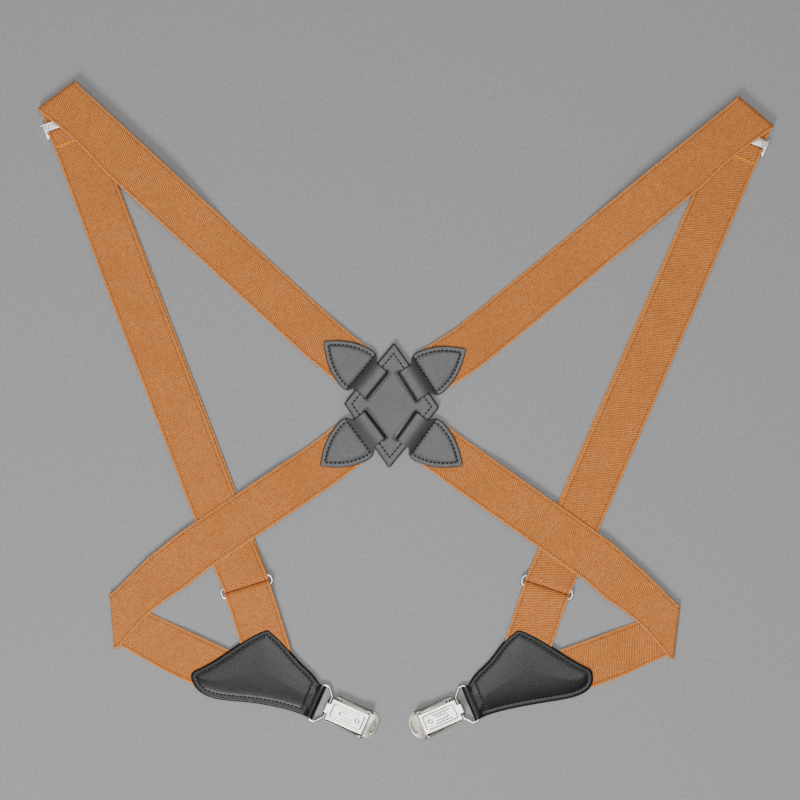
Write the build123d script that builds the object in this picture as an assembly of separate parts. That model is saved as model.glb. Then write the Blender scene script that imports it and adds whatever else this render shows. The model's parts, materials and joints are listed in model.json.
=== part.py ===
from build123d import *
import os
from math import atan2, cos, degrees, hypot, radians, sin

# Suspenders with a crossed back, laid flat. Millimetres, table at z = 0, origin under the
# middle of the back patch, +Y towards the shoulders.

# ---------------------------------------------------------------- driving dimensions
webbing_width = 35.0
webbing = 1.3
leather = 1.2
wire_radius = 1.0
gap = 0.4
running_fit = 0.05

# back patch: a rhombus of two leather layers
patch_half_width = 35.9
patch_half_height = 47.4
patch_tilt = -2.3
patch_low = 2.2
slot_share = 0.583
slot_length = 28.0
slot_width = 4.8

# leather petals that loop through the patch slots
loop_width = 26.0
loop_height = 6.8
petal_length = 53.0
petal_headings = {"ul": 140.5, "ur": 32.8, "ll": 216.9, "lr": -35.6}
petal_pivot = 7.6
sewn_from = 25.0

# layers of webbing above the table
run_low = 0.8
return_low = 2.4
shoulder_low = 8.5
crossing_low = 4.1
petal_webbing_low = 1.3
sewn_low = 1.4

# oval ring
ring_length = 41.4
ring_pitch = 7.5
ring_corner = 3.2
ring_loop = 1.6
ring_height = run_low + webbing + ring_loop

# adjuster, its middle measured from the shoulder fold
adjuster_from_fold = 18.5
adjuster_half_width = 19.6
tail_length = 17.0
tail_bar_height = 4.2
plate_pivot_x = -5.2
plate_pivot_z = 3.4
trunnion = 0.7

# folded leather clip patch and the wire loop through its fold
fold_outer = 2.8
patch_end_width = 26.0
neck_length = 3.0
wire_loop_wide = 14.3
wire_loop_narrow = 8.2
wire_loop_reach = 9.8

# clip
clip_width = 20.8
wall = 1.0
clip_floor = 0.8
clip_length = 40.3
jaw_pin_x = 6.0
jaw_pin_z = 3.3
jaw_pin_radius = 0.8
lever_pin_x = 30.2
lever_pin_z = 7.4
lever_pin_radius = 0.7
jaw_low = 2.1
jaw_sheet = 0.9
lever_width = 16.3
lever_sheet = 0.8

# where each side of the suspenders lies
sides = {
    "l": {
        "front_petal": "ul",
        "back_petal": "ll",
        "shoulder": (-248.7, 229.5),
        "shoulder_line": 36.8,
        "ring": (-108.9, -135.9),
        "ring_line": 17.6,
        "drop_length": 47.0,
        "back_turns": [(-147.2, -108.3), (-172.0, -128.0)],
        "hip": (-207.5, -163.4),
        "hip_line": 94.9,
        "return_end": (-125.7, -201.3),
        "end": (-54.2, -223.6),
        "end_heading": -24.0,
        "upper_edge": [(-58.3, -203.3), (-68.3, -193.3), (-78.4, -181.9), (-93.1, -167.9)],
        "outer_edge": [(-100.4, -170.9), (-130.6, -189.7), (-151.4, -200.4)],
        "lower_edge": [(-145.3, -213.8), (-111.8, -222.5), (-80.0, -228.0)],
    },
    "r": {
        "front_petal": "ur",
        "back_petal": "lr",
        "shoulder": (270.6, 217.3),
        "shoulder_line": -40.0,
        "ring": (116.7, -136.7),
        "ring_line": -18.5,
        "drop_length": 46.0,
        "back_turns": [(155.3, -117.2), (181.3, -140.8)],
        "hip": (211.4, -171.3),
        "hip_line": 83.4,
        "return_end": (129.8, -201.1),
        "end": (57.6, -224.4),
        "end_heading": -156.8,
        "upper_edge": [(61.5, -203.6), (72.2, -192.8), (81.8, -180.4), (95.4, -168.1)],
        "outer_edge": [(104.0, -171.6), (130.6, -187.6), (150.0, -198.0)],
        "lower_edge": [(150.1, -210.1), (121.9, -221.9), (84.0, -229.0)],
    },
}


# ---------------------------------------------------------------- helpers
def ahead(point, heading, distance):
    turn = radians(heading)
    return (point[0] + distance * cos(turn), point[1] + distance * sin(turn))


def heading_between(start, end):
    return degrees(atan2(end[1] - start[1], end[0] - start[0]))


def distance_between(start, end):
    return hypot(end[0] - start[0], end[1] - start[1])


def section(point, low, across, heading):
    """Four corners of the webbing where it is cut along the line at angle across."""
    if sin(radians(across - heading)) < 0:
        across += 180
    half = webbing_width / 2 / sin(radians(across - heading))
    left = ahead(point, across, half)
    right = ahead(point, across, -half)
    high = low + webbing
    return [(*left, low), (*right, low), (*right, high), (*left, high)]


def band(stations):
    """Closed flat-faced length of webbing through stations of (point, low z, across angle)."""
    sections = []
    last = len(stations) - 1
    for index, (point, low, across) in enumerate(stations):
        before = stations[max(index - 1, 0)][0]
        after = stations[min(index + 1, last)][0]
        sections.append(section(point, low, across, heading_between(before, after)))
    faces = [Face(Wire.make_polygon(sections[0])), Face(Wire.make_polygon(sections[-1]))]
    for near, far in zip(sections, sections[1:]):
        for side in range(4):
            next_side = (side + 1) % 4
            corners = [near[side], near[next_side], far[next_side], far[side]]
            faces.append(Face(Wire.make_polygon(corners)))
    return Solid(Shell(faces))


def half_turn(point, line, outward, low, high, sheet, width):
    """Half tube lying along a fold line, open towards the two layers that it joins."""
    outer = (high - low) / 2
    centre = (*point, (high + low) / 2)
    out = Vector(*ahead((0, 0), outward, 1), 0)
    along = Vector(*ahead((0, 0), line, 1), 0)
    plane = Plane(origin=centre, x_dir=out, z_dir=along)
    ring = Circle(outer) - Circle(outer - sheet)
    half = ring & Pos(outer, 0) * Rectangle(2 * outer, 4 * outer)
    return extrude(plane * half, width / 2, both=True)


def prism(profile, width):
    """Side profile drawn in x and z, pushed out to both sides of y = 0."""
    return extrude(Plane.XZ * profile, width / 2, both=True)


def rod(x, z, radius, half_length):
    return prism(Pos(x, z) * Circle(radius), 2 * half_length)


def block(x_from, x_to, half_width, z_from, z_to):
    size = (x_to - x_from, 2 * half_width, z_to - z_from)
    return Pos((x_from + x_to) / 2, 0, (z_from + z_to) / 2) * Box(*size)


def place(solid, point, heading, low=0.0):
    return Pos(*point, low) * Rot(0, 0, heading) * solid


def save(solid, node):
    solid.label = node
    export_step(solid, "parts/" + node + ".step")


# ---------------------------------------------------------------- back patch and petals
def slot_places():
    """Slot middle and outward direction for each petal, seen from the patch middle."""
    places = {}
    normal = degrees(atan2(patch_half_width, patch_half_height))
    quadrants = {"ur": (1, 1), "ul": (-1, 1), "ll": (-1, -1), "lr": (1, -1)}
    for name, (sx, sy) in quadrants.items():
        x = sx * patch_half_width / 2 * slot_share
        y = sy * patch_half_height / 2 * slot_share
        centre = ahead((0, 0), heading_between((0, 0), (x, y)) + patch_tilt, hypot(x, y))
        outward = degrees(atan2(sy * sin(radians(normal)), sx * cos(radians(normal))))
        places[name] = (centre, outward + patch_tilt)
    return places


def back_patch_layer():
    corners = [
        (patch_half_width, 0),
        (0, patch_half_height),
        (-patch_half_width, 0),
        (0, -patch_half_height),
    ]
    outline = Rot(0, 0, patch_tilt) * make_face(Polyline(*corners, close=True))
    outline = fillet(outline.vertices(), 1.2)
    layer = extrude(outline, leather)
    for centre, outward in slots.values():
        slot = Pos(slot_width / 2 - 1.0, 0) * RectangleRounded(slot_width, slot_length, 1.2)
        cutter = extrude(slot, 3 * leather, both=True)
        layer -= place(cutter, centre, outward)
    return layer


def petal():
    """Strip of leather folded through a slot, its two leaves cut to a pointed arch."""
    side = [(13.9, 13.1), (15.1, 16.4), (18.5, 18), (25, 17.4), (34, 14.5), (44, 8.6), (petal_length, 0.6)]
    upper = Spline(*side)
    lower = Spline(*[(x, -y) for x, y in side])
    tip = Line(side[-1], (side[-1][0], -side[-1][1]))
    base = Line(side[0], (side[0][0], -side[0][1]))
    leaf = extrude(make_face([upper, tip, lower, base]), leather)
    top_leaf_low = petal_webbing_low + webbing + 0.1
    outer = loop_height / 2
    bend_x = 0.3 + outer
    outline = Polyline(
        (bend_x, 0),
        (18, 0),
        (18, leather),
        (bend_x, leather),
    )
    cavity_bend = ThreePointArc(
        (bend_x, leather), (bend_x - outer + leather, outer), (bend_x, loop_height - leather)
    )
    top = Polyline(
        (bend_x, loop_height - leather),
        (12.6, loop_height - leather),
        (16.6, top_leaf_low),
        (18, top_leaf_low),
        (18, top_leaf_low + leather),
        (17.0, top_leaf_low + leather),
        (13.0, loop_height),
        (bend_x, loop_height),
    )
    outer_bend = ThreePointArc((bend_x, loop_height), (bend_x - outer, outer), (bend_x, 0))
    loop = prism(make_face([outline, cavity_bend, top, outer_bend]), loop_width)
    return loop + leaf + Pos(0, 0, top_leaf_low) * leaf


def sewn_end():
    """Webbing held between the two leaves of a petal."""
    return block(sewn_from, petal_length + 1, webbing_width / 2,
                 petal_webbing_low, petal_webbing_low + webbing)


# ---------------------------------------------------------------- front strap
def front_leg(side):
    """From the petal over the shoulder: lies on the table, then climbs over the adjuster."""
    heading_petal = petal_headings[side["front_petal"]]
    start = ahead(slots[side["front_petal"]][0], heading_petal, petal_length + 1 + gap)
    heading = heading_between(start, side["shoulder"])
    length = distance_between(start, side["shoulder"])
    square = heading + 90
    level_end = 100.0
    stations = [
        (start, petal_webbing_low, heading_petal + 90),
        (ahead(start, heading, 4), petal_webbing_low, square),
        (ahead(start, heading, 14), 0, square),
        (ahead(start, heading, length - level_end - 55), 0, square),
        (ahead(start, heading, length - level_end), shoulder_low, square),
        (ahead(start, heading, length - 30), shoulder_low, square),
        (side["shoulder"], shoulder_low, side["shoulder_line"]),
    ]
    width = webbing_width / abs(sin(radians(side["shoulder_line"] - heading)))
    outward = side["shoulder_line"] + 90
    top = shoulder_low + webbing
    fold = half_turn(side["shoulder"], side["shoulder_line"], outward, run_low, top,
                     webbing, width)
    return band(stations) + fold


def front_run(side):
    """Lower layer from the shoulder fold down to the ring, turned up round its bar."""
    bar = ring_bar(side, -1)
    heading = heading_between(side["shoulder"], bar)
    stations = [
        (side["shoulder"], run_low, side["shoulder_line"]),
        (ahead(side["shoulder"], heading, 30), run_low, heading + 90),
        (bar, run_low, side["ring_line"]),
    ]
    high = run_low + 2 * webbing + 2 * ring_loop
    turn = half_turn(bar, side["ring_line"], side["ring_line"] - 90, run_low, high,
                     webbing, webbing_width)
    return band(stations) + turn


def front_return(side):
    """Upper layer from the ring back up to the adjuster, which can shorten it."""
    bar = ring_bar(side, -1)
    tail = ahead(side["shoulder"], run_heading(side), adjuster_from_fold + tail_length + gap)
    heading = heading_between(bar, tail)
    high = run_low + webbing + 2 * ring_loop
    stations = [
        (bar, high, side["ring_line"]),
        (ahead(bar, heading, 2), high, side["ring_line"]),
        (ahead(bar, heading, 13), return_low, side["ring_line"]),
        (ahead(bar, heading, 45), return_low, heading + 90),
        (tail, return_low, heading + 90),
    ]
    return band(stations)


def run_heading(side):
    return heading_between(side["shoulder"], ring_bar(side, -1))


def ring_bar(side, sign):
    """Middle of the ring bar nearer the shoulder (-1) or nearer the clip (+1)."""
    return ahead(side["ring"], side["ring_line"] - 90, sign * ring_pitch / 2)


def oval_ring():
    path = RectangleRounded(ring_pitch, ring_length - 2 * wire_radius, ring_corner).wire()
    start = path.position_at(0)
    profile = Plane(origin=start, z_dir=path.tangent_at(0)) * Circle(wire_radius)
    return sweep(profile, path=path)


def drop_strap(length):
    """Short strap doubled through the ring, its two layers meeting before the clip patch."""
    low = run_low
    high = run_low + 2 * webbing + 2 * ring_loop
    outer = (high - low) / 2
    middle = (high + low) / 2
    double_high = sewn_low + 2 * webbing + 0.1
    under = Polyline((0, low), (2, low), (13, sewn_low), (length, sewn_low))
    end = Line((length, sewn_low), (length, double_high))
    over = Polyline((length, double_high), (15, double_high), (2, high), (0, high))
    outer_bend = ThreePointArc((0, high), (-outer, middle), (0, low))
    outline = make_face([under, end, over, outer_bend])
    inner = outer - webbing
    cavity = make_face([
        ThreePointArc((0, middle + inner), (-inner, middle), (0, middle - inner)),
        Line((0, middle - inner), (2, middle - inner)),
        Line((2, middle - inner), (9, middle - 0.9)),
        Line((9, middle - 0.9), (2, middle + inner)),
        Line((2, middle + inner), (0, middle + inner)),
    ])
    return prism(outline - cavity, webbing_width)


# ---------------------------------------------------------------- adjuster
def adjuster_frame():
    """Two cheeks joined by a plate under the running webbing and a bar for its sewn end."""
    cheeks = block(-6.6, 7.0, adjuster_half_width, 0, 4.7)
    cheeks -= block(-8.0, 8.0, adjuster_half_width - 1.4, -1, 6)
    cheeks = chamfer(cheeks.edges().filter_by(Axis.Y), 0.6)
    under = block(-5.0, 0.5, adjuster_half_width - 1.4, 0, 0.55)
    bar = block(2.8, 4.6, adjuster_half_width - 1.4, tail_bar_height - 0.4,
                tail_bar_height + 0.4)
    holes = rod(plate_pivot_x, plate_pivot_z, trunnion + running_fit, 30)
    return cheeks + under + bar - holes


def adjuster_plate():
    """Locking plate: its toothed heel presses the running webbing when it lies flat."""
    sheet = block(-6.0, 0.6, 17.6, plate_pivot_z - 0.4, plate_pivot_z + 0.4)
    pins = rod(plate_pivot_x, plate_pivot_z, trunnion, adjuster_half_width + 1.0)
    solid = sheet + pins
    tooth_count = 13
    for index in range(tooth_count):
        y = (index - (tooth_count - 1) / 2) * 2.5
        solid += Pos(plate_pivot_x, y, plate_pivot_z - 0.65) * Box(0.7, 1.1, 0.6)
    return solid


def webbing_tail():
    """End of the front strap, wrapped round the adjuster's bar and sewn to itself."""
    centre_x = 2.9
    outer = 1.8
    inner = 0.5
    low = tail_bar_height - outer
    high = tail_bar_height + outer
    return_high = return_low + webbing
    outline = make_face([
        Polyline((centre_x, low), (tail_length, low), (tail_length, return_high),
                 (14.8, 5.0), (9.0, 5.0), (5.5, high), (centre_x, high)),
        ThreePointArc((centre_x, high), (centre_x - outer, tail_bar_height), (centre_x, low)),
    ])
    hole = Pos(3.9, tail_bar_height) * SlotOverall(2.0 + 2 * inner, 2 * inner)
    return prism(outline - hole, webbing_width)


# ---------------------------------------------------------------- back strap
def back_leg(side):
    """From the petal over the doubled front strap to the fold at the hip."""
    heading_petal = petal_headings[side["back_petal"]]
    start = ahead(slots[side["back_petal"]][0], heading_petal, petal_length + 1 + gap)
    first, second = side["back_turns"]
    heading = heading_between(start, first)
    later = heading_between(first, second)
    last = heading_between(second, side["hip"])
    stations = [
        (start, petal_webbing_low, heading_petal + 90),
        (ahead(start, heading, 4), petal_webbing_low, heading + 90),
        (ahead(start, heading, 26), crossing_low, heading + 90),
        (first, crossing_low, (heading + later) / 2 + 90),
        (second, crossing_low, (later + last) / 2 + 90),
        (side["hip"], crossing_low, side["hip_line"]),
    ]
    width = webbing_width / abs(sin(radians(side["hip_line"] - last)))
    outward = side["hip_line"] + (90 if side["hip"][0] < 0 else -90)
    fold = half_turn(side["hip"], side["hip_line"], outward, 0, crossing_low + webbing,
                     webbing, width)
    return band(stations) + fold


def back_return(side):
    """From the hip fold, lying on the table, up into the clip patch."""
    heading = heading_between(side["hip"], side["return_end"])
    length = distance_between(side["hip"], side["return_end"])
    square = heading + 90
    stations = [
        (side["hip"], 0, side["hip_line"]),
        (ahead(side["hip"], heading, 14), 0, square),
        (ahead(side["hip"], heading, length - 52), 0, square),
        (ahead(side["hip"], heading, length - 40), sewn_low, square),
        (side["return_end"], sewn_low, square),
    ]
    return band(stations)


# ---------------------------------------------------------------- clip patch and wire loop
def clip_patch(side):
    """Leather cut as one piece and folded round the wire loop, with a leaf on each face."""
    fold_point = ahead(side["end"], side["end_heading"], -fold_outer)
    across = side["end_heading"] + 90
    high_side = ahead(fold_point, across, patch_end_width / 2)
    low_side = ahead(fold_point, across, -patch_end_width / 2)
    if high_side[1] < low_side[1]:
        high_side, low_side = low_side, high_side
    high_neck = ahead(high_side, side["end_heading"], -neck_length)
    low_neck = ahead(low_side, side["end_heading"], -neck_length)
    upper = Spline(high_neck, *side["upper_edge"])
    top = side["upper_edge"][-1]
    outer = Spline(top, *side["outer_edge"])
    lower = Spline(side["outer_edge"][-1], *side["lower_edge"], low_neck)
    neck = [Line(low_neck, low_side), Line(low_side, high_side), Line(high_side, high_neck)]
    leaf = extrude(make_face([upper, outer, lower, *neck]), leather)
    for corner, radius in ((top, 3.0), (side["outer_edge"][-1], 5.0)):
        upright = leaf.edges().filter_by(Axis.Z).sort_by_distance((*corner, leather / 2))
        leaf = fillet(upright[0], radius)
    turn = half_turn(fold_point, across, side["end_heading"], 0, 2 * fold_outer,
                     leather, patch_end_width)
    return leaf + Pos(0, 0, 2 * fold_outer - leather) * leaf + turn


def wire_loop():
    """Closed wire loop, wide in the leather fold and narrow in the clip's knuckle."""
    corners = [
        (0, wire_loop_wide),
        (4.5, wire_loop_wide),
        (wire_loop_reach, wire_loop_narrow),
        (wire_loop_reach, -wire_loop_narrow),
        (4.5, -wire_loop_wide),
        (0, -wire_loop_wide),
    ]
    outline = make_face(Polyline(*corners, close=True))
    outline = fillet(outline.vertices(), 1.6)
    path = outline.face().outer_wire()
    profile = Plane(origin=path.position_at(0), z_dir=path.tangent_at(0)) * Circle(wire_radius)
    return Pos(0, 0, fold_outer) * sweep(profile, path=path)


# ---------------------------------------------------------------- clip
def rounded_tongue(x_from, x_to, width, corner, z_from, z_to):
    """Plate with its two nose corners rounded."""
    sheet = block(x_from, x_to, width / 2, z_from, z_to)
    corners = sheet.edges().filter_by(Axis.Z).group_by(Axis.X)[-1]
    return fillet(corners, corner)


def clip_base():
    """Lower jaw: floor, two side walls and a knuckle rolled round the wire loop."""
    floor = rounded_tongue(3.0, clip_length, clip_width, 8.0, 0, clip_floor)
    side = [(3.0, 0), (32.7, 0), (32.7, 7.6), (31.0, 9.0), (27.7, 9.0), (23.2, 6.2), (3.0, 6.2)]
    walls = prism(make_face(Polyline(*side, close=True)), clip_width)
    walls -= block(0, 40, clip_width / 2 - wall, -1, 12)
    knuckle = rod(0, fold_outer, wire_radius + 1.0, 5.6)
    bridge = block(-0.2, 4.0, 5.6, 0, clip_floor)
    web = block(0, 3.6, 5.6, 0, 1.3)
    solid = floor + walls + knuckle + bridge + web
    solid -= rod(0, fold_outer, wire_radius + running_fit, 30)
    solid -= rod(jaw_pin_x, jaw_pin_z, jaw_pin_radius + 0.02, 30)
    solid -= rod(lever_pin_x, lever_pin_z, lever_pin_radius + 0.02, 30)
    return solid


def clip_jaw():
    """Upper jaw: hinged near the knuckle, with an oval window in its rounded nose."""
    width = clip_width - 2 * wall - 0.8
    sheet = rounded_tongue(jaw_pin_x, clip_length, width, 7.4, jaw_low, jaw_low + jaw_sheet)
    barrel = rod(jaw_pin_x, jaw_pin_z, 1.6, width / 2)
    window = Pos(37.2, 0, jaw_low) * extrude(Ellipse(1.6, 5.2), 4, both=True)
    hole = rod(jaw_pin_x, jaw_pin_z, jaw_pin_radius + running_fit, 30)
    return sheet + barrel - hole - window


def clip_lever():
    """Face plate over the clip, with a cam on its barrel and a finger tab behind."""
    top = lever_pin_z + 1.5
    plate = block(0.8, 31.4, lever_width / 2, top - lever_sheet, top)
    plate = fillet(plate.edges().filter_by(Axis.Z), 1.2)
    tab = block(-2.2, 3.0, 3.8, top - lever_sheet, top)
    tab = fillet(tab.edges().filter_by(Axis.Z).group_by(Axis.X)[0], 1.2)
    barrel = rod(lever_pin_x, lever_pin_z, 1.5, lever_width / 2)
    cam_side = [(-1.5, 0), (1.5, 0), (1.0, -3.1), (0.5, -3.8), (-0.5, -3.8), (-1.0, -3.1)]
    cam = Pos(lever_pin_x, 0, lever_pin_z) * prism(
        make_face(Polyline(*cam_side, close=True)), lever_width - 3)
    hole = rod(lever_pin_x, lever_pin_z, lever_pin_radius + running_fit, 30)
    return plate + tab + barrel + cam - hole


def round_pin(x, z, radius, half_length):
    shaft = rod(x, z, radius, half_length)
    return chamfer(shaft.edges(), 0.25)


def jaw_spring():
    """Bowed leaf spring between the floor and the upper jaw."""
    sheet = 0.35
    under = ThreePointArc((9, clip_floor + 0.02), (16, 1.45), (23, clip_floor + 0.02))
    over = ThreePointArc((23, clip_floor + sheet), (16, 1.45 + sheet), (9, clip_floor + sheet))
    ends = [Line(under @ 1, over @ 0), Line(over @ 1, under @ 0)]
    return prism(make_face([under, ends[0], over, ends[1]]), 9.0)


def toothed_grip(low, depth, tooth, up):
    """Thin strip across the mouth with rows of teeth on its working face."""
    solid = block(33.2, 35.0, 6.6, low, low + depth)
    row_count = 6
    for index in range(row_count):
        y = (index - (row_count - 1) / 2) * 2.1
        z = low + depth + tooth / 2 if up else low - tooth / 2
        solid += Pos(34.1, y, z) * Box(1.0, 1.0, tooth)
    return solid


# ---------------------------------------------------------------- build every node
slots = slot_places()

save(Pos(0, 0, patch_low) * back_patch_layer(), "back_patch_backing")
save(Pos(0, 0, patch_low + leather) * back_patch_layer(), "back_patch_front")

for name, (centre, outward) in slots.items():
    save(place(petal(), centre, petal_headings[name]), "petal_" + name)
    save(place(sewn_end(), centre, petal_headings[name]), "strap_end_" + name)

for tag, side in sides.items():
    save(front_leg(side), "front_leg_" + tag)
    save(front_run(side), "front_run_" + tag)
    save(front_return(side), "front_return_" + tag)
    save(back_leg(side), "back_leg_" + tag)
    save(back_return(side), "back_return_" + tag)

    adjuster = ahead(side["shoulder"], run_heading(side), adjuster_from_fold)
    save(place(adjuster_frame(), adjuster, run_heading(side)), "adjuster_frame_" + tag)
    save(place(adjuster_plate(), adjuster, run_heading(side)), "adjuster_plate_" + tag)
    save(place(webbing_tail(), adjuster, run_heading(side)), "webbing_tail_" + tag)

    down = side["ring_line"] - 90
    save(place(oval_ring(), side["ring"], down, ring_height), "oval_ring_" + tag)
    save(place(drop_strap(side["drop_length"]), ring_bar(side, 1), down), "drop_strap_" + tag)

    save(clip_patch(side), "clip_patch_" + tag)
    fold_point = ahead(side["end"], side["end_heading"], -fold_outer)
    knuckle = ahead(fold_point, side["end_heading"], wire_loop_reach)
    save(place(wire_loop(), fold_point, side["end_heading"]), "wire_loop_" + tag)

    clip_nodes = {
        "clip_base": clip_base(),
        "clip_jaw": clip_jaw(),
        "clip_lever": clip_lever(),
        "jaw_pin": round_pin(jaw_pin_x, jaw_pin_z, jaw_pin_radius, clip_width / 2 + 0.6),
        "lever_pin": round_pin(lever_pin_x, lever_pin_z, lever_pin_radius,
                               clip_width / 2 + 0.4),
        "jaw_spring": jaw_spring(),
        "base_grip": toothed_grip(clip_floor, 0.35, 0.25, True),
        "jaw_grip": toothed_grip(jaw_low - 0.35, 0.35, 0.2, False),
    }
    for node, solid in clip_nodes.items():
        save(place(solid, knuckle, side["end_heading"]), node + "_" + tag)
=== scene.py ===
import bpy
import bmesh
import json
import math
import numpy as np
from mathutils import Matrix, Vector
from mathutils.bvhtree import BVHTree


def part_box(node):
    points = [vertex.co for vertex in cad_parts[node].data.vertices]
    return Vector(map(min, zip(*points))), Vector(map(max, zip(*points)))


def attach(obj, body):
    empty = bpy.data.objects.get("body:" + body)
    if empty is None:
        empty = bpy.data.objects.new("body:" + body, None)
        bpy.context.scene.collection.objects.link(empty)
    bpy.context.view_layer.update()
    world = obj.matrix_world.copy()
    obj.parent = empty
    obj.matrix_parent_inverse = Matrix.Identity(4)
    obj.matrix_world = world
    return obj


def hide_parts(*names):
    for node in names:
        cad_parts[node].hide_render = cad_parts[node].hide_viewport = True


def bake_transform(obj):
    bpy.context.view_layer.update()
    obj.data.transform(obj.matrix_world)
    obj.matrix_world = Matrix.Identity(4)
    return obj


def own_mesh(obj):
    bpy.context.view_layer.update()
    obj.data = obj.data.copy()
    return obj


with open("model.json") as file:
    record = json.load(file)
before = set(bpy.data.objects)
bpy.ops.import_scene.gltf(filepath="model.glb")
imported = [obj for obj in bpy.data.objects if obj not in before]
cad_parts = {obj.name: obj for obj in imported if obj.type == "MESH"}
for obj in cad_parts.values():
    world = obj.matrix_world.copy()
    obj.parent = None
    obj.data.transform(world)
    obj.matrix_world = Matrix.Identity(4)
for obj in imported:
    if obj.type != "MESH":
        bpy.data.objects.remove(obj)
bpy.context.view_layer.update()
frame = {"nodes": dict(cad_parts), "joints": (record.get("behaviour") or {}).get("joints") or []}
joints = {j["name"]: j for j in frame["joints"]}
MM = 0.001

# ------------------------------------------------------------------ camera
# It looks straight down, a little beside the middle of the back patch.
CAMERA_BESIDE, CAMERA_HEIGHT = (0.0063, 0.0041), 1.505
camera = bpy.data.objects.new("camera", bpy.data.cameras.new("camera"))
bpy.context.scene.collection.objects.link(camera)
camera.data.lens = 90.0
camera.data.sensor_width = 36.0
patch_low, patch_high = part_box("back_patch_front")
middle = (patch_low + patch_high) / 2
camera.location = (middle.x + CAMERA_BESIDE[0], middle.y + CAMERA_BESIDE[1], CAMERA_HEIGHT)
camera.data.clip_start = 0.05
bpy.context.scene.camera = camera


# ------------------------------------------------------------------ materials
class Nodes:
    """Small builder for procedural materials."""

    def __init__(self, name):
        self.material = bpy.data.materials.new(name)
        self.material.use_nodes = True
        self.tree = self.material.node_tree
        self.shader = self.tree.nodes["Principled BSDF"]

    def put(self, value, socket):
        if isinstance(value, bpy.types.NodeSocket):
            self.tree.links.new(value, socket)
        else:
            socket.default_value = value

    def add(self, kind, inputs, **settings):
        """Adds a node and returns its outputs. Inputs go by name or by number."""
        node = self.tree.nodes.new("ShaderNode" + kind)
        for key, value in settings.items():
            setattr(node, key, value)
        for key, value in inputs.items():
            self.put(value, node.inputs[key])
        return node.outputs

    def math(self, operation, a, b=0.0, c=0.0):
        return self.add("Math", {0: a, 1: b, 2: c}, operation=operation)[0]

    def times(self, a, b):
        return self.math("MULTIPLY", a, b)

    def muladd(self, a, b, c):
        return self.math("MULTIPLY_ADD", a, b, c)

    def wave(self, phase):
        """Sine between 0 and 1."""
        return self.muladd(self.math("SINE", phase), 0.5, 0.5)

    def ramp(self, value, low_in, high_in, low_out=0.0, high_out=1.0):
        inputs = {"Value": value, "From Min": low_in, "From Max": high_in,
                  "To Min": low_out, "To Max": high_out}
        return self.add("MapRange", inputs, interpolation_type="SMOOTHSTEP")[0]

    def mix(self, share, a, b):
        return self.add("Mix", {"Factor": share, 6: a, 7: b}, data_type="RGBA")[2]

    def noise(self, vector, scale, detail=3.0, roughness=0.5):
        inputs = {"Vector": vector, "Scale": scale, "Detail": detail, "Roughness": roughness}
        return self.add("TexNoise", inputs)["Fac"]

    def cells(self, vector, scale):
        return self.add("TexVoronoi", {"Vector": vector, "Scale": scale})["Distance"]

    def place(self):
        return self.add("TexCoord", {})["Object"]

    def uv(self):
        both = self.add("TexCoord", {})["UV"]
        parts = self.add("SeparateXYZ", {0: both})
        return parts[0], parts[1], both

    def value(self, name):
        return self.add("Attribute", {}, attribute_name=name)["Fac"]

    def bump(self, height, distance, strength, under=None):
        inputs = {"Height": height, "Distance": distance, "Strength": strength}
        if under is not None:
            inputs["Normal"] = under
        return self.add("Bump", inputs)[0]

    def set(self, **values):
        for name, value in values.items():
            self.put(value, self.shader.inputs[name.replace("_", " ")])


def webbing_material():
    """Elastic webbing: short ribs in broken rows, a selvage painted brighter than the body, partly
    as a painted highlight along its rounded edge, and a needle row beside it.
    UV holds millimetres along and across the strap."""
    dark, light, stain = (0.32, 0.061, 0.009, 1), (1.0, 0.385, 0.098, 1), (0.46, 0.15, 0.03, 1)
    # Selvage colours: brighter than the body, partly a painted highlight where the rounded edge
    # catches the light.
    edge_dark, edge_highlight = (0.62, 0.2, 0.04, 1), (1.0, 0.47, 0.15, 1)
    n = Nodes("webbing")
    along, across, both = n.uv()
    side = n.math("ABSOLUTE", across)
    fuzz = n.noise(both, 0.9, 4.0, 0.7)
    fine = n.noise(both, 2.2, 3.0, 0.7)
    patchy = n.noise(both, 0.22, 3.0, 0.6)
    broad = n.noise(both, 0.03, 2.0)
    wobble = n.muladd(patchy, 9.0, n.muladd(fuzz, 7.0, n.times(along, 4.6)))
    ribs = n.wave(n.muladd(across, 1.6, wobble))
    drift = n.muladd(patchy, 9.0, n.times(along, -1.4))
    columns = n.wave(n.muladd(across, 3.1, drift))
    weave = n.times(ribs, n.muladd(columns, 0.55, 0.45))
    selvage = n.ramp(side, 16.2, 16.9)
    needle_row = n.times(n.ramp(side, 14.4, 14.8), n.ramp(side, 15.7, 15.3))
    holes = n.times(needle_row, n.ramp(n.wave(n.times(along, 3.9)), 0.35, 0.85))
    tone = n.muladd(patchy, 0.25, n.muladd(weave, 0.75, n.times(fine, 0.75)))
    tone = n.math("SUBTRACT", tone, n.times(holes, 0.35))
    body = n.mix(n.ramp(tone, 0.4, 1.05), dark, light)
    body = n.mix(n.ramp(broad, 0.3, 0.7, 0.0, 0.2), body, stain)
    edge = n.mix(n.ramp(ribs, 0, 1), edge_dark, edge_highlight)
    height = n.muladd(fine, 0.8, n.math("SUBTRACT", weave, n.times(holes, 0.8)))
    n.set(Base_Color=n.mix(selvage, body, edge), Roughness=n.ramp(fuzz, 0.2, 0.8, 0.72, 0.9),
          Sheen_Weight=0.04, Sheen_Roughness=0.45, Sheen_Tint=(1.0, 0.6, 0.3, 1),
          Specular_IOR_Level=0.2, Normal=n.bump(height, 0.0004, 0.9))
    return n.material


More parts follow.
